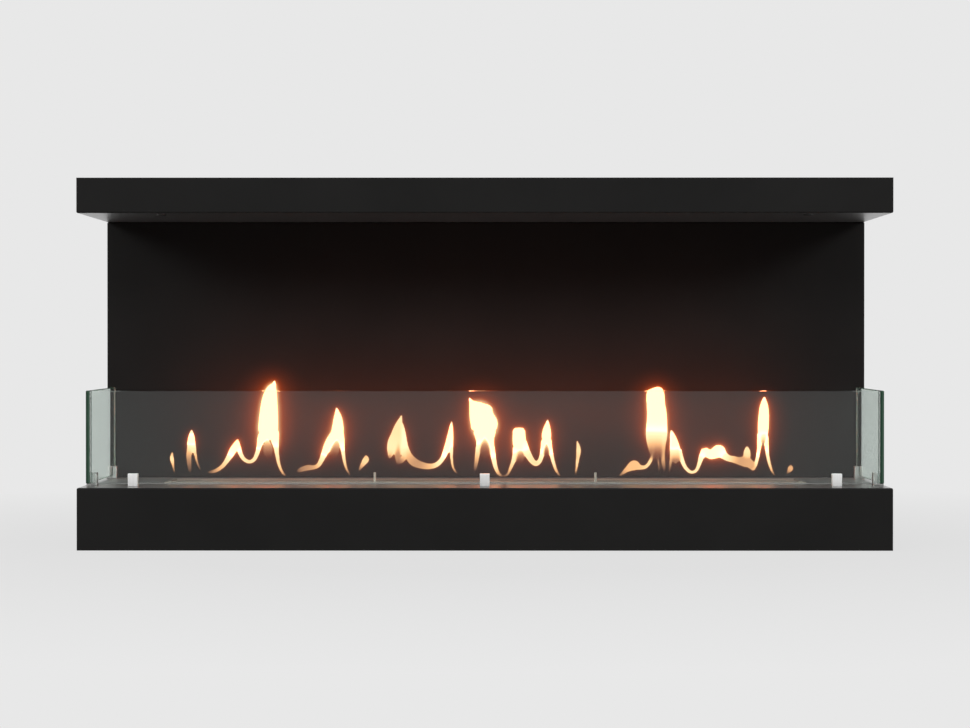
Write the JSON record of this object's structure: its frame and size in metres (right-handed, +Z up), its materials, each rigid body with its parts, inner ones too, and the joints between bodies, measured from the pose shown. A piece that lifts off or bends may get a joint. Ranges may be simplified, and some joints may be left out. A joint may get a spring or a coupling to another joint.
{
  "type": "built-in bioethanol fireplace",
  "caption": "Wide three-sided built-in ethanol fireplace: black hearth box, rear wall and canopy, low glass screen, drop-in linear burner with sliding shutter.",
  "frame": {"origin": "under the middle of the casing, on the surface the hearth stands on", "axes": "+X to the viewer's right along the width, +Y from the open front to the wall, +Z up"},
  "size_m": [1.2, 0.37, 0.548],
  "materials": {
    "black_casing": "satin black heat-proof powder coat",
    "black_screws": "black oxide",
    "galvanised_sheet": "galvanised mill finish",
    "burner_steel": "brushed stainless",
    "shutter_steel": "brushed stainless",
    "clamp_steel": "satin stainless",
    "clear_glass": "clear tempered glass with polished green edges",
    "clear_silicone": "milky translucent",
    "ceramic_wool": "matted white fibre",
    "zinc_fasteners": "zinc plated"
  },
  "bodies": {
    "casing": {"back_panel": "black_casing", "canopy_insulation": "ceramic_wool", "canopy_lid": "black_casing", "canopy_rib_left": "galvanised_sheet", "canopy_rib_right": "galvanised_sheet", "canopy_shell": "black_casing", "clamp_front_left": "clamp_steel", "clamp_front_middle": "clamp_steel", "clamp_front_right": "clamp_steel", "clamp_left_front": "clamp_steel", "clamp_left_rear": "clamp_steel", "clamp_right_front": "clamp_steel", "clamp_right_rear": "clamp_steel", "clamp_screws": "zinc_fasteners", "clamp_set_screws": "zinc_fasteners", "frame_bolts": "zinc_fasteners", "frame_nuts": "zinc_fasteners", "hearth_floor": "galvanised_sheet", "hearth_rib_left": "galvanised_sheet", "hearth_rib_right": "galvanised_sheet", "hearth_shell": "black_casing", "heat_shield": "galvanised_sheet", "lid_screws": "zinc_fasteners", "liner_front_left": "clear_silicone", "liner_front_middle": "clear_silicone", "liner_front_right": "clear_silicone", "liner_left_front": "clear_silicone", "liner_left_rear": "clear_silicone", "liner_right_front": "clear_silicone", "liner_right_rear": "clear_silicone", "rear_cover": "galvanised_sheet", "rear_cover_screws": "zinc_fasteners", "rear_insulation": "ceramic_wool", "rear_upright_left": "galvanised_sheet", "rear_upright_right": "galvanised_sheet", "safety_tray": "burner_steel", "shield_nuts": "zinc_fasteners", "shield_screws": "black_screws", "shield_spacers": "zinc_fasteners"},
    "burner": {"burner_top": "burner_steel", "burner_tank": "burner_steel", "burner_mesh": "burner_steel", "burner_wool": "ceramic_wool", "shutter_guide_left": "shutter_steel", "shutter_guide_right": "shutter_steel"},
    "shutter": {"shutter": "shutter_steel", "shutter_pins": "shutter_steel"},
    "front_pane": {"front_glass": "clear_glass"},
    "left_pane": {"left_glass": "clear_glass"},
    "right_pane": {"right_glass": "clear_glass"}
  },
  "joints": [
    {"name": "burner_lift", "type": "slide", "parent": "casing", "child": "burner", "axis": [0, 0, 1], "range_m": [0, 0.12]},
    {"name": "shutter_slide", "type": "slide", "parent": "burner", "child": "shutter", "axis": [0, 1, 0], "range_m": [0, 0.039]},
    {"name": "front_pane_lift", "type": "slide", "parent": "casing", "child": "front_pane", "axis": [0, 0, 1], "range_m": [0, 0.06]},
    {"name": "left_pane_lift", "type": "slide", "parent": "casing", "child": "left_pane", "axis": [0, 0, 1], "range_m": [0, 0.06]},
    {"name": "right_pane_lift", "type": "slide", "parent": "casing", "child": "right_pane", "axis": [0, 0, 1], "range_m": [0, 0.06]}
  ]
}
